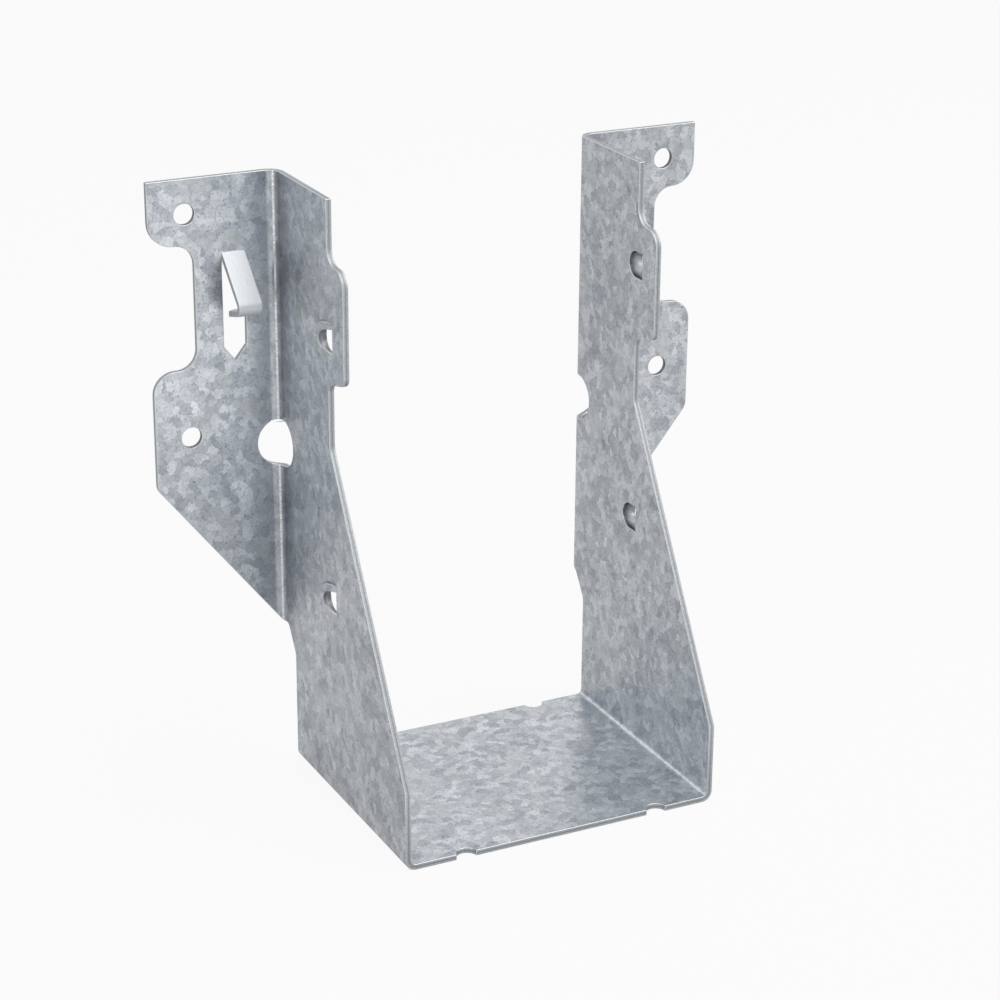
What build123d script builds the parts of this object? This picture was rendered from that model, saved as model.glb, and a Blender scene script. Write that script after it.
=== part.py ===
"""Face-mount joist hanger, folded from one galvanised sheet, in millimetres.

The joist lies on the seat between two side panels. Two flanges, bent outward at
the panels' back edges, are nailed to the header. +X is to the right seen from
the front, +Y points at the header and +Z is up. The origin is in the middle of
the seat's underside, so the part's box is centred on it in X and Y.
"""

import os
from math import atan2, cos, degrees, radians, sin, tan

from build123d import *

# Sheet and bends, with the radius on the inside of each bend
sheet = 1.2
seat_bend_radius = 1.0
flange_bend_radius = 2.0

# Pocket for the joist
inside_width = 65.1
seat_depth = 53.3
seat_setback = 6.7

# Heights along the flanges' outline, stacked up from the seat's underside
foot_height = 28.6
taper_height = 32.9
lower_tab_height = 23.9
neck_height = 25.0
upper_tab_height = 13.0

# Reach of the flanges, out from the panels' outer faces
tab_reach = 26.0
neck_reach = 16.9
upper_tab_radius = 5.0
upper_neck_radius = 4.0
lower_neck_radius = 4.0
lower_tab_radius = 4.5
lower_corner_radius = 3.0

# Side panels' outline: depths forward of the header face, heights from below
head_depth = 26.1
shoulder_reach = 7.4
lip_height = 16.4
slant_height = 58.1
waist_height = 12.85
shoulder_rise = 1.7
shoulder_height = 21.95
shoulder_top_radius = 3.4
shoulder_step_radius = 2.0
waist_radius = 3.0
back_slope_start = 0.9
back_slope_rise = 6.2
back_slope_radius = 2.0

# Nail holes in the flanges
nail_hole_diameter = 4.2
nail_hole_reach = 18.6
upper_hole_drop = 6.9
lower_hole_rise = 10.0

# Round relief that straddles each flange bend
relief_diameter = 9.6
relief_height = 68.0
relief_panel_depth = 2.7

# Half-round notches in the seat's front and back edges
notch_diameter = 4.2
notch_spacing = 41.8
notch_bite = 1.9

# Prong punched out of each flange's neck, and the slot that it leaves
prong_width = 4.75
prong_reach = 8.9
prong_drop = 2.4
slot_length = 18.9
point_length = 3.0
prong_slope = 43.6
prong_return_slope = 14.6
prong_run = 13.9
prong_root_radius = 1.0
prong_bend_radius = 1.3
prong_tip_setback = 1.1

# Domes that steer the joist nails: one high and one low on each panel
dome_bore_radius = 2.65
dome_wall = 1.3
dome_setback = 7.9
lance_run = 2.7
mouth_lift = 1.1
upper_dome_rise = 13.65
lower_dome_height = 49.4
dome_stagger = 6.3

# Faces and levels that follow from these
height = foot_height + taper_height + lower_tab_height + neck_height + upper_tab_height
depth = seat_depth + seat_setback
header_y = depth / 2
front_y = -depth / 2
seat_back_y = header_y - seat_setback
inner_x = inside_width / 2
outer_x = inner_x + sheet
tab_x = outer_x + tab_reach
neck_x = outer_x + neck_reach
hole_x = outer_x + nail_hole_reach
prong_x = outer_x + prong_reach
seat_outer_radius = seat_bend_radius + sheet
flange_outer_radius = flange_bend_radius + sheet
taper_top = foot_height + taper_height
lower_shelf = taper_top + lower_tab_height
upper_shelf = lower_shelf + neck_height
back_slope_top = foot_height + sheet
waist_level = lip_height + slant_height
step_level = waist_level + waist_height
shoulder_level = step_level + shoulder_rise
shoulder_top = shoulder_level + shoulder_height
shoulder_depth = head_depth + shoulder_reach
slot_top = upper_shelf - prong_drop
hole_levels = (taper_top + lower_hole_rise, height - upper_hole_drop)
dome_outer_radius = dome_bore_radius + dome_wall
dome_depth = shoulder_depth - dome_setback
dome_levels = (shoulder_level + upper_dome_rise, lower_dome_height)
sides = (-1, 1)


def y_at(forward):
    """Y of a point that lies this far forward of the header face."""
    return header_y - forward


def corners(builder, *points):
    """The vertices of a sketch that are nearest to these points."""
    return [builder.vertices().sort_by_distance(point)[0] for point in points]


# Hood of one dome. Locally +X is outward and the bore's axis is Y, in the
# panel's inner face. The mouth slopes back and up from the lance line.
with BuildPart() as hood:
    with BuildSketch(Plane.XY):
        with BuildLine():
            CenterArc((0, 0), dome_outer_radius, 0, 90)
            Polyline(
                (0, dome_outer_radius),
                (0, -lance_run),
                (dome_outer_radius, -lance_run),
                (dome_outer_radius, 0),
            )
        make_face()
    revolve(axis=Axis.Y)
    rim_run = lance_run + (dome_bore_radius**2 - (sheet + mouth_lift) ** 2) ** 0.5
    mouth_angle = degrees(atan2(mouth_lift, rim_run))
    hood_run = lance_run + dome_outer_radius
    with BuildSketch(Plane.XY):
        Polygon(
            (sheet / 2, -lance_run),
            (sheet, -lance_run),
            (sheet + hood_run * tan(radians(mouth_angle)), hood_run - lance_run),
            (sheet / 2, hood_run - lance_run),
            align=None,
        )
    extrude(amount=2 * dome_outer_radius, both=True, mode=Mode.INTERSECT)

# Bore of one dome, in the same place: it opens the panel and hollows the hood.
with BuildPart() as bore:
    with BuildSketch(Plane.XY):
        with BuildLine():
            CenterArc((0, 0), dome_bore_radius, 0, 90)
            Polyline(
                (0, dome_bore_radius),
                (0, -lance_run),
                (dome_bore_radius, -lance_run),
                (dome_bore_radius, 0),
            )
        make_face()
    revolve(axis=Axis.Y)

# Prong of one flange, centred on X: from the top of its slot it slopes forward
# and down, then folds back towards the header and ends in a point.
root_y = y_at(sheet / 2)
knee_y = root_y - prong_run * cos(radians(prong_slope))
knee_z = slot_top - prong_run * sin(radians(prong_slope))
tip_y = y_at(prong_tip_setback)
tip_z = knee_z - (tip_y - knee_y) * tan(radians(prong_return_slope))
with BuildPart() as prong:
    with BuildSketch(Plane.YZ):
        with BuildLine():
            strip = FilletPolyline(
                (root_y, slot_top + sheet),
                (root_y, slot_top),
                (knee_y, knee_z),
                (tip_y, tip_z),
                radius=(prong_root_radius, prong_bend_radius),
            )
        trace(line_width=sheet)
    extrude(amount=prong_width / 2, both=True)
    with BuildSketch(Plane.XY.offset(knee_z)):
        for side in sides:
            Polygon(
                (0, tip_y),
                (side * prong_width / 2, tip_y - point_length),
                (side * prong_width, tip_y - point_length),
                (side * prong_width, tip_y + sheet),
                (0, tip_y + sheet),
                align=None,
            )
    extrude(amount=-(knee_z - tip_z) - 2 * sheet, mode=Mode.SUBTRACT)

with BuildPart() as hanger:
    # Seat, panels and flanges as seen from the front
    with BuildSketch(Plane.XZ) as front_view:
        Polygon(
            (0, 0),
            (outer_x, 0),
            (outer_x, foot_height),
            (tab_x, taper_top),
            (tab_x, lower_shelf),
            (neck_x, lower_shelf),
            (neck_x, upper_shelf),
            (tab_x, upper_shelf),
            (tab_x, height),
            (inner_x, height),
            (inner_x, sheet),
            (0, sheet),
            align=None,
        )
        fillet(corners(front_view, (outer_x, 0)), seat_outer_radius)
        fillet(corners(front_view, (inner_x, sheet)), seat_bend_radius)
        fillet(corners(front_view, (tab_x, taper_top)), lower_corner_radius)
        fillet(corners(front_view, (tab_x, lower_shelf)), lower_tab_radius)
        fillet(corners(front_view, (neck_x, lower_shelf)), lower_neck_radius)
        fillet(corners(front_view, (neck_x, upper_shelf)), upper_neck_radius)
        fillet(corners(front_view, (tab_x, upper_shelf)), upper_tab_radius)
        mirror(about=Plane.YZ)
    extrude(amount=depth / 2, both=True)

    # Outline of the side panels, and the seat's depth below them
    with BuildSketch(Plane.YZ) as side_view:
        Polygon(
            (front_y, 0),
            (front_y, lip_height),
            (y_at(head_depth), waist_level),
            (y_at(head_depth), step_level),
            (y_at(shoulder_depth), shoulder_level),
            (y_at(shoulder_depth), shoulder_top),
            (y_at(head_depth), shoulder_top),
            (y_at(head_depth), height),
            (header_y, height),
            (header_y, back_slope_top),
            (y_at(flange_outer_radius), back_slope_top - back_slope_start),
            (seat_back_y, back_slope_top - back_slope_rise),
            (seat_back_y, 0),
            align=None,
        )
        fillet(corners(side_view, (y_at(head_depth), waist_level)), waist_radius)
        fillet(
            corners(side_view, (y_at(head_depth), step_level), (y_at(shoulder_depth), shoulder_level)),
            shoulder_step_radius,
        )
        fillet(
            corners(side_view, (y_at(shoulder_depth), shoulder_top), (y_at(head_depth), shoulder_top)),
            shoulder_top_radius,
        )
        fillet(
            corners(
                side_view,
                (y_at(flange_outer_radius), back_slope_top - back_slope_start),
                (seat_back_y, back_slope_top - back_slope_rise),
            ),
            back_slope_radius,
        )
    extrude(amount=tab_x, both=True, mode=Mode.INTERSECT)

    # Plan: only the flange stays outside the panels, turned through its bend
    with BuildSketch(Plane.XY) as plan_view:
        Polygon(
            (outer_x, y_at(sheet)),
            (tab_x + sheet, y_at(sheet)),
            (tab_x + sheet, front_y - sheet),
            (outer_x, front_y - sheet),
            align=None,
        )
        fillet(corners(plan_view, (outer_x, y_at(sheet))), flange_bend_radius)
        with BuildLine():
            CenterArc(
                (inner_x + flange_outer_radius, header_y - flange_outer_radius),
                flange_outer_radius,
                90,
                90,
            )
            Polyline(
                (inner_x, header_y - flange_outer_radius),
                (inner_x, header_y),
                (inner_x + flange_outer_radius, header_y),
            )
        make_face()
        mirror(about=Plane.YZ)
    extrude(amount=height, mode=Mode.SUBTRACT)

    # Round relief, through the flange and then through the panel
    with BuildSketch(Plane.XZ.offset(-header_y)):
        with Locations(*[(side * outer_x, relief_height) for side in sides]):
            Circle(relief_diameter / 2)
    extrude(amount=flange_outer_radius, mode=Mode.SUBTRACT)
    with BuildSketch(Plane.YZ):
        with Locations((y_at(relief_panel_depth), relief_height)):
            Circle(relief_diameter / 2)
    extrude(amount=outer_x + flange_bend_radius, both=True, mode=Mode.SUBTRACT)

    # Nail holes and prong slots in the flanges
    with BuildSketch(Plane.XZ.offset(-header_y)):
        with Locations(*[(side * hole_x, level) for side in sides for level in hole_levels]):
            Circle(nail_hole_diameter / 2)
        with Locations(*[(side * prong_x, slot_top) for side in sides]):
            Polygon(
                (-prong_width / 2, 0),
                (-prong_width / 2, -slot_length),
                (0, -slot_length - point_length),
                (prong_width / 2, -slot_length),
                (prong_width / 2, 0),
                align=None,
            )
    extrude(amount=sheet, mode=Mode.SUBTRACT)

    # Half-round notches in the seat's edges
    with BuildSketch(Plane.XY):
        notch_radius = notch_diameter / 2
        with Locations(*[(side * notch_spacing / 2, front_y + notch_bite - notch_radius) for side in sides]):
            Circle(notch_radius)
        with Locations(*[(side * notch_spacing / 2, seat_back_y - notch_bite + notch_radius) for side in sides]):
            Circle(notch_radius)
    extrude(amount=sheet, mode=Mode.SUBTRACT)

    # Prongs
    with Locations(*[(side * prong_x, 0, 0) for side in sides]):
        add(prong.part)

    # Domes, with the left panel's lower than the right's so that nails cross
    for level in dome_levels:
        right = Location((inner_x, y_at(dome_depth), level))
        left = Location((-inner_x, y_at(dome_depth), level - dome_stagger), (0, 180, 0))
        with Locations(right, left):
            add(hood.part)
            add(bore.part, mode=Mode.SUBTRACT)

os.makedirs("parts", exist_ok=True)
hanger.part.label = "hanger"
export_step(hanger.part, "parts/hanger.step")
print("hanger", hanger.part.bounding_box().size, "solids", len(hanger.part.solids()))
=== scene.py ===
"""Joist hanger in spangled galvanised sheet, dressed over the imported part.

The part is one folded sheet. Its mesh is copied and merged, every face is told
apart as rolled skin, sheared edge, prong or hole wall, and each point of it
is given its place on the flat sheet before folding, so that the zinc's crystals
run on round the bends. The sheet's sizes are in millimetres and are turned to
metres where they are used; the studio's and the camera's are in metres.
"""

import logging
import math
from dataclasses import dataclass, field
from enum import Enum, IntEnum
from typing import Any, Mapping

import bmesh
import bpy
import numpy as np
from mathutils import Matrix, Vector


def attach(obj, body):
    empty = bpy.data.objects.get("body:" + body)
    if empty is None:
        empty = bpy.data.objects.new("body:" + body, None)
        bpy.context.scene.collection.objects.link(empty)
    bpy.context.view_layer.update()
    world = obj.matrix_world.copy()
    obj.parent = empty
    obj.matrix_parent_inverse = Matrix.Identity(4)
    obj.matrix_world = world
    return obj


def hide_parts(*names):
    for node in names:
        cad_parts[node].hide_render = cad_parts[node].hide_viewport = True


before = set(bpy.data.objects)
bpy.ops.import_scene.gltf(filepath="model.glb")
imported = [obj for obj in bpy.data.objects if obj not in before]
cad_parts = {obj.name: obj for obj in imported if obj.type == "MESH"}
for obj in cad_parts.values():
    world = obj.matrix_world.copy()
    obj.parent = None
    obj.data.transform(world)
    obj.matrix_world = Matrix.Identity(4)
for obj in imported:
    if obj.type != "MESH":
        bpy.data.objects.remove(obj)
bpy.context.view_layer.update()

MM = 0.001
TINY = 1e-9

log = logging.getLogger("joist_hanger")


class Surface(IntEnum):
    """What a face of the folded sheet is, which is also its material slot."""

    SKIN = 0
    SHEARED = 1
    ARRIS = 2
    PRONG_BROAD = 3
    PUNCHED = 4


class Side(Enum):
    """Which side of the centre line a feature is on."""

    LEFT = -1
    RIGHT = 1


def linear(code: str) -> tuple[float, float, float, float]:
    """Turns an sRGB hex colour to linear light.

    Each channel c in 0..1 becomes c / 12.92 below 0.04045, and otherwise
    ((c + 0.055) / 1.055) to the power 2.4.

    Args:
        code: The colour, as "#RRGGBB".

    Returns:
        Linear red, green and blue, and an alpha of 1.
    """
    channels = [int(code[i : i + 2], 16) / 255 for i in (1, 3, 5)]
    light = [c / 12.92 if c <= 0.04045 else ((c + 0.055) / 1.055) ** 2.4 for c in channels]
    return (light[0], light[1], light[2], 1.0)


def put(
    tree: bpy.types.NodeTree,
    kind: str,
    inputs: Mapping[str | int, Any] | None = None,
    **settings: Any,
) -> bpy.types.Node:
    """Adds a node to a tree, with its settings and its links.

    Args:
        tree: The node tree.
        kind: The node's type name.
        inputs: Its sockets by name or number: a socket to link from, or a value.
        **settings: Its properties.

    Returns:
        The new node.
    """
    node = tree.nodes.new(kind)
    for name, value in settings.items():
        setattr(node, name, value)
    for key, value in (inputs or {}).items():
        if isinstance(value, bpy.types.NodeSocket):
            tree.links.new(value, node.inputs[key])
        else:
            node.inputs[key].default_value = value
    return node


def new_material(name: str) -> bpy.types.Material:
    """Makes a material with an empty node tree.

    Args:
        name: Its name.

    Returns:
        The material.
    """
    material = bpy.data.materials.new(name)
    material.use_nodes = True
    material.node_tree.nodes.clear()
    return material


@dataclass(frozen=True)
class SpangledZinc:
    """Hot-dip galvanised sheet, bent after dipping.

    The zinc freezes into angular crystals, the spangle: each throws back a
    slightly different grey, from pale to slate, with faint ferny streaks of its
    own direction, dark seams and a rare dark speck. A painted highlight lies along
    the middle of each bend, broken into fine ticks where the zinc has cracked, and
    painted shade darkens the zinc beside the flange bends.
    """

    # Sizes on the flat sheet, in millimetres.
    flake: float = 3.6
    patch: float = 1.6
    facet: float = 0.42
    ragged: float = 0.5
    cloud: float = 18.0
    seam: float = 0.08
    streak_width: float = 0.12
    streak_length: float = 1.4
    # Painted shade beside the flange bends: its middle along the flat sheet, and where it
    # starts to fade and where it is gone.
    bend_shade_at: float = 28.84
    bend_shade_band: tuple[float, float] = (3.75, 7.5)
    tick: float = 0.3
    tick_run: float = 20.0
    relief: float = 0.02

    # What the flake, patch, facet, streak and cloud draws each add to the tone.
    shares: tuple[float, ...] = (0.2, 0.46, 0.19, 0.09, 0.06)
    # From which draw on a cell is a speck, is tinted or has a seam, and from which on
    # it is so in full.
    speck_draws: tuple[float, float] = (0.965, 0.985)
    tint_draws: tuple[float, float] = (0.86, 0.9)
    seam_draws: tuple[float, float] = (0.3, 0.7)
    # Shares of the mixed colours at their fullest.
    seam_most: float = 0.6
    speck_most: float = 0.35
    tint_most: float = 0.3
    bend_shade_most: float = 0.42
    # Where across a bend the painted highlight line starts and is full, and its ticks' noise.
    highlight_band: tuple[float, float] = (0.39, 0.48)
    tick_band: tuple[float, float] = (0.35, 0.6)
    tick_least: float = 0.5

    pale: str = "#F2F5F9"
    slate: str = "#949BA5"
    tint: str = "#C3C6C3"
    seam_dark: str = "#5F656D"
    # Colour of the painted shade beside the flange bends.
    bend_shade: str = "#7B8189"
    # Colour of the painted highlight along the bends.
    bend_highlight: str = "#F3F5F7"
    roughness: float = 0.3
    roughness_spread: float = 0.1
    polish: float = 0.14
    patch_relief: float = 0.7
    relief_strength: float = 0.9

    def build(self) -> bpy.types.Material:
        """Lays out the nodes.

        Small cells of a Voronoi pattern in the flat sheet's own millimetres each
        move the point at which two coarser Voronoi patterns are read. The coarse
        cells, which are the crystals, get their angular borders from that.

        Returns:
            The material.
        """
        material = new_material("galvanised_spangle")
        tree = material.node_tree
        flat = put(tree, "ShaderNodeUVMap", uv_map="flat_sheet").outputs["UV"]
        facets = put(
            tree,
            "ShaderNodeTexVoronoi",
            {"Vector": flat, "Scale": 1 / self.facet, "Randomness": 1.0},
            voronoi_dimensions="2D",
        )
        centred = put(
            tree,
            "ShaderNodeVectorMath",
            {0: facets.outputs["Color"], 1: (0.5, 0.5, 0.5)},
            operation="SUBTRACT",
        )
        ragged = put(
            tree,
            "ShaderNodeVectorMath",
            {0: centred.outputs[0], 1: (self.ragged, self.ragged, 0.0), 2: flat},
            operation="MULTIPLY_ADD",
        )
        flakes = put(
            tree,
            "ShaderNodeTexVoronoi",
            {"Vector": ragged.outputs[0], "Scale": 1 / self.flake, "Randomness": 1.0},
            voronoi_dimensions="2D",
        )
        patches = put(
            tree,
            "ShaderNodeTexVoronoi",
            {"Vector": ragged.outputs[0], "Scale": 1 / self.patch, "Randomness": 1.0},
            voronoi_dimensions="2D",
        )
        flake_draw = put(tree, "ShaderNodeSeparateColor", {0: flakes.outputs["Color"]})
        patch_draw = put(tree, "ShaderNodeSeparateColor", {0: patches.outputs["Color"]})
        facet_draw = put(tree, "ShaderNodeSeparateColor", {0: facets.outputs["Color"]})
        cloud = put(
            tree,
            "ShaderNodeTexNoise",
            {"Vector": flat, "Scale": 1 / self.cloud, "Detail": 1.0},
            noise_dimensions="2D",
        )

        turn = put(
            tree,
            "ShaderNodeMath",
            {0: flake_draw.outputs[1], 1: math.pi},
            operation="MULTIPLY",
        )
        along = put(
            tree,
            "ShaderNodeVectorRotate",
            {"Vector": flat, "Angle": turn.outputs[0]},
            rotation_type="Z_AXIS",
        )
        streak_scale = (1 / self.streak_width, 1 / self.streak_length, 1.0)
        drawn_out = put(
            tree,
            "ShaderNodeMapping",
            {"Vector": along.outputs[0], "Scale": streak_scale},
        )
        streaks = put(
            tree,
            "ShaderNodeTexNoise",
            {"Vector": drawn_out.outputs[0], "Scale": 1.0, "Detail": 2.0},
            noise_dimensions="2D",
        )

        tone: bpy.types.NodeSocket | float = 0.0
        draws = (
            flake_draw.outputs[0],
            patch_draw.outputs[0],
            facet_draw.outputs[2],
            streaks.outputs["Fac"],
            cloud.outputs["Fac"],
        )
        for draw, share in zip(draws, self.shares):
            tone = put(
                tree,
                "ShaderNodeMath",
                {0: draw, 1: share, 2: tone},
                operation="MULTIPLY_ADD",
            ).outputs[0]
        grey = put(
            tree,
            "ShaderNodeMix",
            {0: tone, 6: linear(self.slate), 7: linear(self.pale)},
            data_type="RGBA",
        )
        borders = put(
            tree,
            "ShaderNodeTexVoronoi",
            {"Vector": ragged.outputs[0], "Scale": 1 / self.patch, "Randomness": 1.0},
            voronoi_dimensions="2D",
            feature="DISTANCE_TO_EDGE",
        )
        deep = put(
            tree,
            "ShaderNodeMapRange",
            {
                "Value": facet_draw.outputs[1],
                "From Min": self.seam_draws[0],
                "From Max": self.seam_draws[1],
                "To Max": self.seam_most,
            },
        )
        seams = put(
            tree,
            "ShaderNodeMapRange",
            {
                "Value": borders.outputs["Distance"],
                "From Min": 0.0,
                "From Max": self.seam / self.patch,
                "To Min": deep.outputs[0],
                "To Max": 0.0,
            },
        )
        specks = put(
            tree,
            "ShaderNodeMapRange",
            {
                "Value": facet_draw.outputs[0],
                "From Min": self.speck_draws[0],
                "From Max": self.speck_draws[1],
                "To Max": self.speck_most,
            },
        )
        flaws = put(
            tree,
            "ShaderNodeMath",
            {0: seams.outputs[0], 1: specks.outputs[0]},
            operation="MAXIMUM",
        )
        grey = put(
            tree,
            "ShaderNodeMix",
            {0: flaws.outputs[0], 6: grey.outputs[2], 7: linear(self.seam_dark)},
            data_type="RGBA",
        )
        tinted = put(
            tree,
            "ShaderNodeMapRange",
            {
                "Value": flake_draw.outputs[2],
                "From Min": self.tint_draws[0],
                "From Max": self.tint_draws[1],
                "To Max": self.tint_most,
            },
        )
        grey = put(
            tree,
            "ShaderNodeMix",
            {0: tinted.outputs[0], 6: grey.outputs[2], 7: linear(self.tint)},
            data_type="RGBA",
        )

        # Painted shade beside the flange bends.
        grey = self.paint_bend_shade(tree, flat, grey.outputs[2])
        # Painted highlight along the middle of the seat and flange bends, broken into ticks.
        tick_scale = (1 / self.tick, 1 / self.tick_run)
        bend_highlight = self.bend_highlight_share(tree, flat, "flange_fold", (*tick_scale, 1.0))
        seat_bend_highlight = self.bend_highlight_share(tree, flat, "seat_fold", (*reversed(tick_scale), 1.0))
        bend_highlight_share = put(
            tree,
            "ShaderNodeMath",
            {0: bend_highlight, 1: seat_bend_highlight},
            operation="MAXIMUM",
        )
        colour = put(
            tree,
            "ShaderNodeMix",
            {0: bend_highlight_share.outputs[0], 6: grey.outputs[2], 7: linear(self.bend_highlight)},
            data_type="RGBA",
        )
        gloss = put(
            tree,
            "ShaderNodeMath",
            {
                0: patch_draw.outputs[1],
                1: self.roughness_spread,
                2: self.roughness - self.roughness_spread / 2,
            },
            operation="MULTIPLY_ADD",
        )
        gloss = put(
            tree,
            "ShaderNodeMath",
            {0: bend_highlight_share.outputs[0], 1: -self.polish, 2: gloss.outputs[0]},
            operation="MULTIPLY_ADD",
        )
        relief = put(
            tree,
            "ShaderNodeMath",
            {0: patch_draw.outputs[1], 1: self.patch_relief, 2: streaks.outputs["Fac"]},
            operation="MULTIPLY_ADD",
        )
        bump = put(
            tree,
            "ShaderNodeBump",
            {
                "Strength": self.relief_strength,
                "Distance": self.relief * MM,
                "Height": relief.outputs[0],
            },
        )
        shader = put(
            tree,
            "ShaderNodeBsdfPrincipled",
            {
                "Base Color": colour.outputs[2],
                "Roughness": gloss.outputs[0],
                "Metallic": 1.0,
                "Normal": bump.outputs[0],
            },
        )
        put(tree, "ShaderNodeOutputMaterial", {"Surface": shader.outputs[0]})
        return material

    def paint_bend_shade(
        self,
        tree: bpy.types.NodeTree,
        flat: bpy.types.NodeSocket,
        grey: bpy.types.NodeSocket,
    ) -> bpy.types.Node:
        """Paints shade onto the zinc on both sides of the flange bends, standing in for the
        darker reflections in the corner.

        The share of darkening is full near the bend's middle. Between two distances
        from it along the flat sheet it falls to 0 by a smooth step.

        Args:
            tree: The material's node tree.
            flat: The flat sheet's coordinates.
            grey: The colour so far.

        Returns:
            The node that mixes the darker colour in.
        """
        place = put(tree, "ShaderNodeSeparateXYZ", {0: flat})
        off = put(
            tree,
            "ShaderNodeMath",
            {0: place.outputs[1], 1: self.bend_shade_at},
            operation="SUBTRACT",
        )
        far = put(tree, "ShaderNodeMath", {0: off.outputs[0]}, operation="ABSOLUTE")
        share = put(
            tree,
            "ShaderNodeMapRange",
            {
                "Value": far.outputs[0],
                "From Min": self.bend_shade_band[0],
                "From Max": self.bend_shade_band[1],
                "To Min": self.bend_shade_most,
                "To Max": 0.0,
            },
            interpolation_type="SMOOTHSTEP",
        )
        return put(
            tree,
            "ShaderNodeMix",
            {0: share.outputs[0], 6: grey, 7: linear(self.bend_shade)},
            data_type="RGBA",
        )

    def bend_highlight_share(
        self,
        tree: bpy.types.NodeTree,
        flat: bpy.types.NodeSocket,
        attribute: str,
        stretch: tuple[float, float, float],
    ) -> bpy.types.NodeSocket:
        """Says how strongly one kind of bend carries its painted highlight line.

        How far round the bend a point is, from 0 to 1, is folded at its middle,
        and a smooth step near the fold leaves a narrow line. The line is
        multiplied by noise that is drawn out across the bend, which gives the
        ticks.

        Args:
            tree: The material's node tree.
            flat: The flat sheet's coordinates.
            attribute: The mesh attribute that runs from 0 to 1 round such a bend.
            stretch: The noise's frequency along each flat coordinate, per mm.

        Returns:
            The socket with the share of the painted highlight.
        """
        round_bend = put(tree, "ShaderNodeAttribute", attribute_name=attribute)
        folded = put(
            tree,
            "ShaderNodeMath",
            {0: round_bend.outputs["Fac"], 1: 0.5},
            operation="PINGPONG",
        )
        line = put(
            tree,
            "ShaderNodeMapRange",
            {
                "Value": folded.outputs[0],
                "From Min": self.highlight_band[0],
                "From Max": self.highlight_band[1],
            },
            interpolation_type="SMOOTHSTEP",
        )
        ticks_at = put(tree, "ShaderNodeMapping", {"Vector": flat, "Scale": stretch})
        ticks = put(
            tree,
            "ShaderNodeTexNoise",
            {"Vector": ticks_at.outputs[0], "Scale": 1.0, "Detail": 3.0},
            noise_dimensions="2D",
        )
        strength = put(
            tree,
            "ShaderNodeMapRange",
            {
                "Value": ticks.outputs["Fac"],
                "From Min": self.tick_band[0],
                "From Max": self.tick_band[1],
                "To Min": self.tick_least,
            },
        )
        return put(
            tree,
            "ShaderNodeMath",
            {0: line.outputs[0], 1: strength.outputs[0]},
            operation="MULTIPLY",
        ).outputs[0]


@dataclass(frozen=True)
class PlainMetal:
    """A part of the sheet without spangle: two greys in fine streaks.

    The streaks are noise on object coordinates, drawn out along one direction. A
    mesh attribute of painted light can add to their share of the lighter grey, which
    paints light and shade onto the hole walls, and another, which runs from 0 to 1
    through the sheet, can lay a darker line halfway through.
    """

    name: str
    light: str
    dark: str
    streak: tuple[float, float, float]
    roughness: float
    metallic: float = 1.0
    painted_light: str = ""
    depth: str = ""
    shaded_streaks: float = 0.3
    roughness_spread: float = 0.16
    relief: float = 0.02
    relief_strength: float = 0.3
    break_band: tuple[float, float] = (0.32, 0.46)
    break_least: float = 0.4

    def build(self) -> bpy.types.Material:
        """Lays out the nodes.

        Returns:
            The material.
        """
        material = new_material(self.name)
        tree = material.node_tree
        place = put(tree, "ShaderNodeTexCoord").outputs["Object"]
        scale = tuple(1 / (size * MM) for size in self.streak)
        drawn_out = put(tree, "ShaderNodeMapping", {"Vector": place, "Scale": scale})
        streaks = put(
            tree,
            "ShaderNodeTexNoise",
            {"Vector": drawn_out.outputs[0], "Scale": 1.0, "Detail": 3.0},
        )
        share = streaks.outputs["Fac"]
        # Painted light and shade from a mesh attribute.
        if self.painted_light:
            lit_share = put(tree, "ShaderNodeAttribute", attribute_name=self.painted_light)
            share = put(
                tree,
                "ShaderNodeMath",
                {0: share, 1: self.shaded_streaks, 2: lit_share.outputs["Fac"]},
                operation="MULTIPLY_ADD",
            ).outputs[0]
        if self.depth:
            share = self.break_line(tree, share)
        colour = put(
            tree,
            "ShaderNodeMix",
            {0: share, 6: linear(self.dark), 7: linear(self.light)},
            data_type="RGBA",
        )
        gloss = put(
            tree,
            "ShaderNodeMath",
            {
                0: streaks.outputs["Fac"],
                1: self.roughness_spread,
                2: self.roughness - self.roughness_spread / 2,
            },
            operation="MULTIPLY_ADD",
        )
        bump = put(
            tree,
            "ShaderNodeBump",
            {
                "Strength": self.relief_strength,
                "Distance": self.relief * MM,
                "Height": streaks.outputs["Fac"],
            },
        )
        shader = put(
            tree,
            "ShaderNodeBsdfPrincipled",
            {
                "Base Color": colour.outputs[2],
                "Roughness": gloss.outputs[0],
                "Metallic": self.metallic,
                "Normal": bump.outputs[0],
            },
        )
        put(tree, "ShaderNodeOutputMaterial", {"Surface": shader.outputs[0]})
        return material

    def break_line(
        self, tree: bpy.types.NodeTree, share: bpy.types.NodeSocket
    ) -> bpy.types.NodeSocket:
        """Darkens the line where the sheet stops being cut and breaks.

        The depth through the sheet is folded at its middle, and the share of the
        lighter grey falls linearly to its least share there.

        Args:
            tree: The material's node tree.
            share: The share of the lighter grey so far.

        Returns:
            The socket with the new share.
        """
        through = put(tree, "ShaderNodeAttribute", attribute_name=self.depth)
        folded = put(
            tree,
            "ShaderNodeMath",
            {0: through.outputs["Fac"], 1: 0.5},
            operation="PINGPONG",
        )
        left = put(
            tree,
            "ShaderNodeMapRange",
            {
                "Value": folded.outputs[0],
                "From Min": self.break_band[0],
                "From Max": self.break_band[1],
                "To Min": 1.0,
                "To Max": self.break_least,
            },
        )
        return put(
            tree,
            "ShaderNodeMath",
            {0: share, 1: left.outputs[0]},
            operation="MULTIPLY",
        ).outputs[0]


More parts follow.
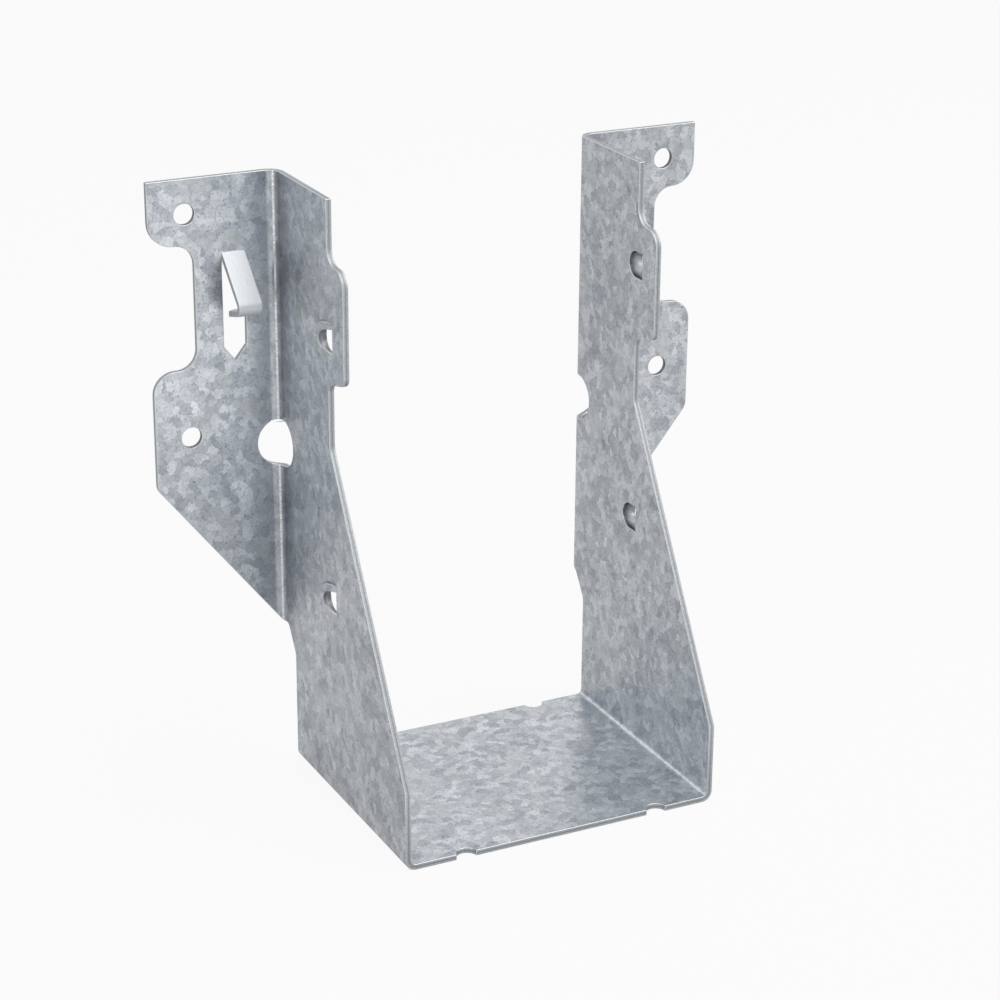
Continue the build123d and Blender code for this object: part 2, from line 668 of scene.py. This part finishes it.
# Edge left by the shear: dull light grey, with a darker line where the cut turned to a break.
SHEARED_EDGE = PlainMetal(
    name="sheared_edge",
    light="#E4E7EA",
    dark="#7A7E82",
    streak=(0.3, 0.3, 0.3),
    roughness=0.6,
    depth="sheet_depth",
)
# Rounded arris of every edge: a thin pale rim, whose pale colour is a painted highlight along
# the edge.
ARRIS_HIGHLIGHT = PlainMetal(
    name="arris_painted_highlight",
    light="#E4E7EA",
    dark="#C6CACE",
    streak=(0.6, 0.6, 0.6),
    roughness=0.34,
)
# Prongs: plain zinc in fine streaks, painted pale and half-matt to stand in for the light on
# their broad faces.
PRONG_PAINTED_LIGHT = PlainMetal(
    name="prong_painted_light",
    light="#EDEFF0",
    dark="#CDD1D5",
    streak=(0.25, 2.0, 2.0),
    roughness=0.42,
    metallic=0.55,
)
# Walls of the punched holes: dark grey as painted shade, painted lighter by a mesh attribute
# towards the domes' mouths.
HOLE_WALL_PAINTED_SHADE = PlainMetal(
    name="hole_wall_painted_shade",
    light="#F0F3F6",
    dark="#3C4045",
    streak=(0.3, 0.3, 0.3),
    roughness=0.36,
    painted_light="hole_painted_light",
)


@dataclass
class FoldedSheet:
    """Where the sheet is folded, and how a point on it goes back to the flat.

    Sizes are in millimetres, and reach is the distance from the centre line.
    """

    # The part's own sizes. The radii are those inside the bends.
    thickness: float = 1.2
    inner_x: float = 32.55
    seat_radius: float = 1.0
    flange_radius: float = 2.0
    header_y: float = 30.0
    # How far up the sheet a prong slides for each millimetre that it stands out.
    prong_lean: float = 0.43
    # Domes: the bore's round end and run along Y, their heights on the right, how
    # much lower they are on the left, and the radii of the pressed ring and the bore.
    dome_y: float = 4.4
    dome_run: float = 2.7
    dome_levels: tuple[float, float] = (102.7, 49.4)
    dome_stagger: float = 6.3
    dome_reach: float = 4.05
    dome_bore: float = 2.65
    # Nail holes in the flanges.
    nail_reach: float = 52.35
    nail_levels: tuple[float, float] = (116.5, 71.5)
    nail_bore: float = 2.1
    # Painted light on the hole walls: where it starts past the inner face and how fast it
    # comes, and the same from the hoods' closed backs towards their mouths; elsewhere the
    # walls keep their painted shade.
    wall_top: float = 0.66
    wall_fade: float = 0.5
    hood_back: float = 3.2
    hood_fade: float = 4.0
    hood_least: float = 0.15
    hood_reach: float = 4.8
    # Past the inner face: where a place is on the flange for certain.
    flange_from: float = 4.6
    # Shift of the inner side along the flat sheet, which gives it other crystals.
    back_shift: float = 300.0
    # How near a face has to be to count as on a surface, and the products of two unit
    # directions above or below which it counts as facing that way or not.
    near: float = 0.02
    bore_near: float = 0.12
    hole_near: float = 0.1
    prong_clear: float = 0.05
    skin_cosine: float = 0.7
    dome_cosine: float = 0.8
    flat_cosine: float = 0.99
    wall_cosine: float = 0.3

    def seat_axis(self) -> tuple[float, float]:
        """Reach from the centre line and height of the seat bend's axis."""
        return self.inner_x - self.seat_radius, self.thickness + self.seat_radius

    def flange_axis(self) -> tuple[float, float]:
        """Reach from the centre line and depth of the flange bend's axis."""
        outer = self.flange_radius + self.thickness
        return self.inner_x + outer, self.header_y - outer

    def bend_angles(self, points: np.ndarray) -> tuple[np.ndarray, np.ndarray]:
        """Gives each place's angle about the seat bend's and the flange bend's axis.

        It is the arc tangent of the distance past the axis over the distance still
        before it, held between 0 and a right angle.

        Args:
            points: Places in millimetres, as rows x, y, z.

        Returns:
            The angles about the seat bends and about the flange bends, in radians.
        """
        reach, y, z = np.abs(points[:, 0]), points[:, 1], points[:, 2]
        seat_x, seat_z = self.seat_axis()
        bend_x, bend_y = self.flange_axis()
        seat = np.arctan2(np.maximum(reach - seat_x, 0), np.maximum(seat_z - z, TINY))
        flange = np.arctan2(np.maximum(y - bend_y, 0), np.maximum(bend_x - reach, TINY))
        return np.clip(seat, 0, math.pi / 2), np.clip(flange, 0, math.pi / 2)

    def flatten(self, points: np.ndarray) -> np.ndarray:
        """Unrolls points of the folded sheet onto the flat blank.

        Across: the seat's own reach, then the arc of the seat bend (radius to the
        middle of the sheet times the angle), then the height up the panel. Along:
        the depth, then the arc of the flange bend, then the reach of the flange. A
        prong is laid out by its reach, and slides up the sheet with its depth.

        Args:
            points: Places in millimetres, as an array of rows x, y, z.

        Returns:
            Places on the flat sheet in millimetres, as rows u, v.
        """
        reach, y, z = np.abs(points[:, 0]), points[:, 1], points[:, 2]
        seat_angle, flange_angle = self.bend_angles(points)
        seat_x, seat_z = self.seat_axis()
        seat_mid = self.seat_radius + self.thickness / 2
        across = np.where(
            z >= seat_z,
            seat_x + seat_mid * math.pi / 2 + z - seat_z,
            np.where(reach <= seat_x, reach, seat_x + seat_mid * seat_angle),
        )
        bend_x, bend_y = self.flange_axis()
        bend_mid = self.flange_radius + self.thickness / 2
        in_bend = bend_y + bend_mid * flange_angle
        past_bend = bend_y + bend_mid * math.pi / 2 + reach - bend_x
        along = np.where(y <= bend_y, y, np.where(reach < bend_x, in_bend, past_bend))
        on_flange = reach > bend_x + self.thickness
        along = np.where((y < bend_y) & on_flange, past_bend, along)
        lean = self.prong_lean * (y - self.header_y)
        across = np.where(on_flange, across + lean, across)
        return np.stack([np.sign(points[:, 0]) * across, along], axis=1)

    def round_bends(self, points: np.ndarray) -> tuple[np.ndarray, np.ndarray]:
        """Says how far round each kind of bend a point is.

        That is its angle about the bend's axis over a right angle: 0 before the
        bend, 1 after it.

        Args:
            points: Places in millimetres, as rows x, y, z.

        Returns:
            Shares of the seat bends and of the flange bends.
        """
        seat, flange = self.bend_angles(points)
        right_angle = math.pi / 2
        return seat / right_angle, flange / right_angle

    def outward(self, centres: np.ndarray) -> np.ndarray:
        """Gives the direction that the sheet's outer skin faces at each place.

        It is down under the seat, away from the centre on the panels, and to the
        front on the flanges, and it turns with the radius through each bend.

        Args:
            centres: Places in millimetres, as rows x, y, z.

        Returns:
            Unit directions, one row each.
        """
        reach, y, z = np.abs(centres[:, 0]), centres[:, 1], centres[:, 2]
        side = np.where(centres[:, 0] < 0, -1.0, 1.0)
        seat_x, seat_z = self.seat_axis()
        bend_x, bend_y = self.flange_axis()
        face = np.zeros_like(centres)
        face[:, 0] = side
        low = z < seat_z
        face[low] = np.stack(
            [
                side[low] * np.maximum(reach[low] - seat_x, 0),
                np.zeros(low.sum()),
                z[low] - seat_z,
            ],
            axis=1,
        )
        back = (y > bend_y) & ~low
        face[back] = np.stack(
            [
                side[back] * np.maximum(bend_x - reach[back], 0),
                bend_y - y[back],
                np.zeros(back.sum()),
            ],
            axis=1,
        )
        return face / np.maximum(np.linalg.norm(face, axis=1, keepdims=True), TINY)

    def from_dome(self, centres: np.ndarray) -> tuple[np.ndarray, np.ndarray]:
        """Gives each place's distance and direction from the nearest dome's axis.

        The axis is a short run along Y, so the distance is that to a segment.

        Args:
            centres: Places in millimetres, as rows x, y, z.

        Returns:
            Distances, and unit directions away from the axis.
        """
        best = np.full(len(centres), np.inf)
        away = np.zeros_like(centres)
        for side in Side:
            for level in self.dome_levels:
                drop = self.dome_stagger if side is Side.LEFT else 0.0
                near = centres.copy()
                near[:, 0] = side.value * self.inner_x
                near[:, 1] = np.clip(centres[:, 1], self.dome_y - self.dome_run, self.dome_y)
                near[:, 2] = level - drop
                gap = centres - near
                far = np.linalg.norm(gap, axis=1)
                closer = far < best
                best = np.where(closer, far, best)
                away[closer] = gap[closer] / np.maximum(far[closer, None], TINY)
        return best, away

    def painted_hole_light(self, points: np.ndarray) -> np.ndarray:
        """Says how much painted light a hole's wall gets at each place, against its painted
        shade.

        It is 0, full painted shade, in the sheet itself. In a dome's raised hood it rises
        from its least share at the closed back to 1, full painted light, towards the mouth.

        Args:
            points: Places in millimetres, as rows x, y, z.

        Returns:
            The share of the lighter grey.
        """
        reach = np.abs(points[:, 0])
        raised = np.clip((reach - self.inner_x - self.wall_top) / self.wall_fade, 0, 1)
        from_back = (self.dome_y + self.hood_back - points[:, 1]) / self.hood_fade
        forward = np.clip(from_back, self.hood_least, 1)
        return np.where(reach < self.inner_x + self.hood_reach, raised * forward, 0.0)

    def through(self, points: np.ndarray) -> np.ndarray:
        """Says how far through the sheet each place is.

        It is 0 on the inner face and 1 on the outer one. On the seat and the panels it
        is the distance from the seat bend's axis less the inner radius, over the
        thickness. The flanges are bent the other way: there it is the outer radius
        less the distance from the flange bend's axis, over the thickness.

        Args:
            points: Places in millimetres, as rows x, y, z.

        Returns:
            The share of the thickness.
        """
        reach, y, z = np.abs(points[:, 0]), points[:, 1], points[:, 2]
        seat_x, seat_z = self.seat_axis()
        bend_x, bend_y = self.flange_axis()
        from_seat = np.hypot(np.maximum(reach - seat_x, 0), np.maximum(seat_z - z, 0))
        from_bend = np.hypot(np.maximum(bend_x - reach, 0), np.maximum(y - bend_y, 0))
        panel = (from_seat - self.seat_radius) / self.thickness
        flange = (self.flange_radius + self.thickness - from_bend) / self.thickness
        return np.clip(np.where(y > bend_y, flange, panel), 0, 1)

    def sort_faces(self, centres: np.ndarray, normals: np.ndarray) -> np.ndarray:
        """Tells rolled skin from sheared edge, prong and hole wall.

        A face is skin where its normal lies along the direction that the sheet
        faces there: along the outward direction, or away from a dome's axis on a
        dome. Elsewhere it is sheared, but for the walls of the nail holes and of the
        domes' bores, which are hole walls. A prong's broad faces take the prongs'
        pale finish, and its narrow ones are sheared.

        Args:
            centres: Face centres in millimetres, as rows x, y, z.
            normals: Unit face normals.

        Returns:
            The Surface of each face.
        """
        reach, y = np.abs(centres[:, 0]), centres[:, 1]
        along_sheet = np.abs((normals * self.outward(centres)).sum(axis=1))
        skin = along_sheet > self.skin_cosine
        distance, away = self.from_dome(centres)
        off_axis = (normals * away).sum(axis=1)
        raised = (distance < self.dome_reach) & (reach > self.inner_x + self.near)
        on_outer_face = np.abs(reach - self.inner_x - self.thickness) < self.near
        flat_panel = (np.abs(normals[:, 0]) > self.flat_cosine) & on_outer_face
        on_dome = raised & ~flat_panel
        skin = np.where(on_dome, np.abs(off_axis) > self.dome_cosine, skin)
        kinds = np.where(skin, int(Surface.SKIN), int(Surface.SHEARED))
        in_bore = (distance < self.dome_bore + self.bore_near) & (off_axis < -self.wall_cosine)
        kinds = np.where(in_bore, int(Surface.PUNCHED), kinds)
        for level in self.nail_levels:
            from_nail = np.hypot(reach - self.nail_reach, centres[:, 2] - level)
            is_wall = np.abs(normals[:, 1]) < self.wall_cosine
            in_hole = (from_nail < self.nail_bore + self.hole_near) & is_wall
            kinds = np.where(in_hole, int(Surface.PUNCHED), kinds)
        on_flange = reach > self.inner_x + self.flange_from
        prong = on_flange & (y < self.header_y - self.thickness - self.prong_clear)
        broad = np.abs(normals[:, 0]) < self.wall_cosine
        # A prong's broad faces get the finish whose pale colour is painted light.
        prong_kinds = np.where(broad, int(Surface.PRONG_BROAD), int(Surface.SHEARED))
        return np.where(prong, prong_kinds, kinds)


@dataclass
class HangerSheet:
    """The hanger itself: a merged copy of the part's mesh, dressed.

    Sizes are in millimetres and angles in degrees.
    """

    node: str = "hanger"
    name: str = "hanger_sheet"
    fold: FoldedSheet = field(default_factory=FoldedSheet)
    skin: SpangledZinc = field(default_factory=SpangledZinc)
    merge: float = 0.035
    level_within: float = 0.3
    edge_round: float = 0.12
    crease: float = 34.0

    def merged_mesh(self) -> bpy.types.Mesh:
        """Copies the part's mesh, joins its loose triangles and drops flat seams.

        Returns:
            The copy.
        """
        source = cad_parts[self.node].data
        work = bmesh.new()
        work.from_mesh(source)
        bmesh.ops.remove_doubles(work, verts=work.verts, dist=self.merge * MM)
        bmesh.ops.dissolve_limit(
            work,
            angle_limit=math.radians(self.level_within),
            use_dissolve_boundaries=False,
            verts=work.verts,
            edges=work.edges,
        )
        mesh = bpy.data.meshes.new(self.name)
        work.to_mesh(mesh)
        work.free()
        return mesh

    def mark(self, mesh: bpy.types.Mesh) -> None:
        """Gives the mesh its flat coordinates, point attributes and face kinds.

        The sheet's inner side is shifted along the flat sheet, so that the two
        sides have different crystals.

        Args:
            mesh: The merged mesh.
        """
        verts = np.empty(len(mesh.vertices) * 3)
        mesh.vertices.foreach_get("co", verts)
        verts = verts.reshape(-1, 3) / MM
        count = len(mesh.polygons)
        centres, normals = np.empty(count * 3), np.empty(count * 3)
        mesh.polygons.foreach_get("center", centres)
        mesh.polygons.foreach_get("normal", normals)
        centres, normals = centres.reshape(-1, 3) / MM, normals.reshape(-1, 3)
        kinds = self.fold.sort_faces(centres, normals)
        mesh.polygons.foreach_set("material_index", kinds.astype(np.int32))

        loop_vertex = np.empty(len(mesh.loops), dtype=np.int32)
        mesh.loops.foreach_get("vertex_index", loop_vertex)
        totals = np.empty(count, dtype=np.int32)
        mesh.polygons.foreach_get("loop_total", totals)
        inner = (normals * self.fold.outward(centres)).sum(axis=1) < 0
        flat = self.fold.flatten(verts)[loop_vertex]
        flat[:, 1] += np.repeat(np.where(inner, self.fold.back_shift, 0.0), totals)
        layer = mesh.uv_layers.new(name="flat_sheet")
        layer.uv.foreach_set("vector", flat.astype(np.float32).ravel())

        seat_fold, flange_fold = self.fold.round_bends(verts)
        # Shares round the bends, painted light on the hole walls, and depth through the sheet.
        weights = {
            "seat_fold": seat_fold,
            "flange_fold": flange_fold,
            "hole_painted_light": self.fold.painted_hole_light(verts),
            "sheet_depth": self.fold.through(verts),
        }
        for name, values in weights.items():
            attribute = mesh.attributes.new(name, "FLOAT", "POINT")
            attribute.data.foreach_set("value", values.astype(np.float32))

    def build(self) -> bpy.types.Object:
        """Builds the piece, rounds its edges and puts it in the part's place.

        Returns:
            The piece.
        """
        mesh = self.merged_mesh()
        self.mark(mesh)
        for finish in (self.skin, SHEARED_EDGE, ARRIS_HIGHLIGHT, PRONG_PAINTED_LIGHT, HOLE_WALL_PAINTED_SHADE):
            mesh.materials.append(finish.build())
        mesh.polygons.foreach_set("use_smooth", np.ones(len(mesh.polygons), dtype=bool))
        piece = bpy.data.objects.new(self.name, mesh)
        bpy.context.scene.collection.objects.link(piece)
        bevel = piece.modifiers.new("edge_round", "BEVEL")
        bevel.width = self.edge_round * MM
        bevel.segments = 2
        bevel.limit_method = "ANGLE"
        bevel.angle_limit = math.radians(self.crease)
        bevel.harden_normals = True
        bevel.loop_slide = False
        bevel.use_clamp_overlap = False
        bevel.material = int(Surface.ARRIS)
        weighted = piece.modifiers.new("flat_faces", "WEIGHTED_NORMAL")
        weighted.keep_sharp = True
        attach(piece, "root")
        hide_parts(self.node)
        log.info("%s: %d faces", self.name, len(mesh.polygons))
        return piece


@dataclass
class Studio:
    """Plain pale floor, white surroundings, two soft boxes and a card on the floor.

    Sizes are in metres. A level says how many times as bright as a white wall a
    lamp looks.
    """

    middle: tuple[float, float, float] = (0.0, 0.0, 0.06)
    floor_size: float = 6.0
    floor_white: str = "#DEDEDD"
    floor_glow: float = 0.92
    floor_shine: float = 0.3
    sky_light: float = 0.4
    sky_shine: float = 0.84
    key_size: float = 1.1
    key_distance: float = 0.9
    key_towards: tuple[float, float, float] = (0.42, -0.42, 0.95)
    key_level: float = 1.35
    card_size: float = 0.5
    card_place: tuple[float, float, float] = (-0.1, -0.36, 0.003)
    card_level: float = 0.4
    left_size: float = 0.4
    left_distance: float = 0.9
    left_towards: tuple[float, float, float] = (-0.88, -0.42, 0.1)
    left_level: float = 1.5

    def white_rays(
        self, tree: bpy.types.NodeTree, seen: float, shone: float
    ) -> bpy.types.NodeSocket:
        """Gives a share of white by the kind of ray, and 0 for rays that only light.

        Args:
            tree: The node tree to add to.
            seen: The share for camera rays.
            shone: The share for glossy and transmission rays.

        Returns:
            The socket with that share.
        """
        path = put(tree, "ShaderNodeLightPath")
        mirrored = put(
            tree,
            "ShaderNodeMath",
            {0: path.outputs["Is Glossy Ray"], 1: path.outputs["Is Transmission Ray"]},
            operation="MAXIMUM",
        )
        shining = put(
            tree,
            "ShaderNodeMath",
            {0: mirrored.outputs[0], 1: shone},
            operation="MULTIPLY",
        )
        return put(
            tree,
            "ShaderNodeMath",
            {0: path.outputs["Is Camera Ray"], 1: seen, 2: shining.outputs[0]},
            operation="MULTIPLY_ADD",
        ).outputs[0]

    def world(self) -> None:
        """Surrounds the object with white, dimmer where it only lights."""
        world = bpy.data.worlds.new("studio_white")
        world.use_nodes = True
        world.node_tree.nodes.clear()
        tree = world.node_tree
        more = self.white_rays(tree, 1.0 - self.sky_light, self.sky_shine - self.sky_light)
        strength = put(
            tree,
            "ShaderNodeMath",
            {0: more, 1: self.sky_light},
            operation="ADD",
        )
        shine = put(
            tree,
            "ShaderNodeBackground",
            {"Color": (1.0, 1.0, 1.0, 1.0), "Strength": strength.outputs[0]},
        )
        put(tree, "ShaderNodeOutputWorld", {"Surface": shine.outputs[0]})
        bpy.context.scene.world = world

    def floor(self) -> bpy.types.Object:
        """Lays the floor that the seat stands on: a matt white sheet with a glow.

        Returns:
            The floor.
        """
        half = self.floor_size / 2
        corners = [(-half, -half, 0), (half, -half, 0), (half, half, 0), (-half, half, 0)]
        mesh = bpy.data.meshes.new("floor")
        mesh.from_pydata(corners, [], [(0, 1, 2, 3)])
        material = new_material("matt_white_paper")
        tree = material.node_tree
        matt = put(tree, "ShaderNodeBsdfDiffuse", {"Color": linear(self.floor_white)})
        glow = put(tree, "ShaderNodeEmission")
        mixed = put(
            tree,
            "ShaderNodeMixShader",
            {
                0: self.white_rays(tree, self.floor_glow, self.floor_shine),
                1: matt.outputs[0],
                2: glow.outputs[0],
            },
        )
        put(tree, "ShaderNodeOutputMaterial", {"Surface": mixed.outputs[0]})
        mesh.materials.append(material)
        sheet = bpy.data.objects.new("floor", mesh)
        bpy.context.scene.collection.objects.link(sheet)
        return sheet

    def lamp(
        self, name: str, place: Vector, back: Vector, size: float, level: float
    ) -> None:
        """Puts a square soft lamp in place.

        Its power is level times pi times its area, which makes it look level times
        as bright as a white wall.

        Args:
            name: The lamp's name.
            place: Where its middle is, in metres.
            back: The unit direction opposite to the one that it shines in.
            size: Its side, in metres.
            level: Its brightness.
        """
        lamp = bpy.data.lights.new(name, "AREA")
        lamp.shape = "SQUARE"
        lamp.size = size
        lamp.energy = level * math.pi * size * size
        holder = bpy.data.objects.new(name, lamp)
        turn = back.to_track_quat("Z", "Y").to_matrix().to_4x4()
        holder.matrix_world = Matrix.Translation(place) @ turn
        holder.visible_camera = False
        bpy.context.scene.collection.objects.link(holder)

    def soft_box(
        self, name: str, towards: Vector, distance: float, size: float, level: float
    ) -> None:
        """Hangs a soft box that looks at the middle of the object.

        Args:
            name: The lamp's name.
            towards: Direction from the object to the lamp.
            distance: How far away it hangs, in metres.
            size: Its side, in metres.
            level: Its brightness.
        """
        way = towards.normalized()
        self.lamp(name, Vector(self.middle) + way * distance, way, size, level)

    def build(self) -> None:
        """Sets up the surroundings, the floor and the lamps."""
        self.world()
        self.floor()
        key, left = Vector(self.key_towards), Vector(self.left_towards)
        down = Vector((0.0, 0.0, -1.0))
        self.soft_box("key_box", key, self.key_distance, self.key_size, self.key_level)
        self.lamp("front_card", Vector(self.card_place), down, self.card_size, self.card_level)
        self.soft_box("left_box", left, self.left_distance, self.left_size, self.left_level)
        log.info("studio: floor, white surroundings, two soft boxes and a card on the floor")


@dataclass
class Camera:
    """The camera, placed where the photograph was taken from.

    It looks from the object's left side and down on it, and is rolled a little.
    Angles are in degrees, lens and sensor in millimetres, and the place in metres.
    """

    turn: float = 26.75
    tilt: float = 21.27
    roll: float = 0.46
    lens: float = 95.564
    sensor: float = 36.0
    place: tuple[float, float, float] = (-0.218403, -0.434831, 0.249204)

    def build(self) -> bpy.types.Object:
        """Builds the camera.

        Its axes are the view direction, and right and up turned by the roll.

        Returns:
            The camera.
        """
        turn, tilt, roll = (math.radians(a) for a in (self.turn, self.tilt, self.roll))
        level = math.cos(tilt)
        ahead = Vector((level * math.sin(turn), level * math.cos(turn), -math.sin(tilt)))
        right = Vector((math.cos(turn), -math.sin(turn), 0.0))
        up = right.cross(ahead)
        across = math.cos(roll) * right + math.sin(roll) * up
        upward = math.cos(roll) * up - math.sin(roll) * right
        lens = bpy.data.cameras.new("camera")
        lens.lens = self.lens
        lens.sensor_width = self.sensor
        lens.clip_start = 0.01
        camera = bpy.data.objects.new("camera", lens)
        axes = Matrix((across, upward, -ahead)).transposed()
        camera.matrix_world = Matrix.Translation(Vector(self.place)) @ axes.to_4x4()
        bpy.context.scene.collection.objects.link(camera)
        bpy.context.scene.camera = camera
        return camera


def main() -> None:
    """Builds the piece, the studio and the camera, in that order."""
    logging.basicConfig(level=logging.INFO, format="%(name)s %(message)s")
    bpy.context.scene.view_settings.view_transform = "Standard"
    HangerSheet().build()
    Studio().build()
    Camera().build()


if __name__ == "__main__":
    main()
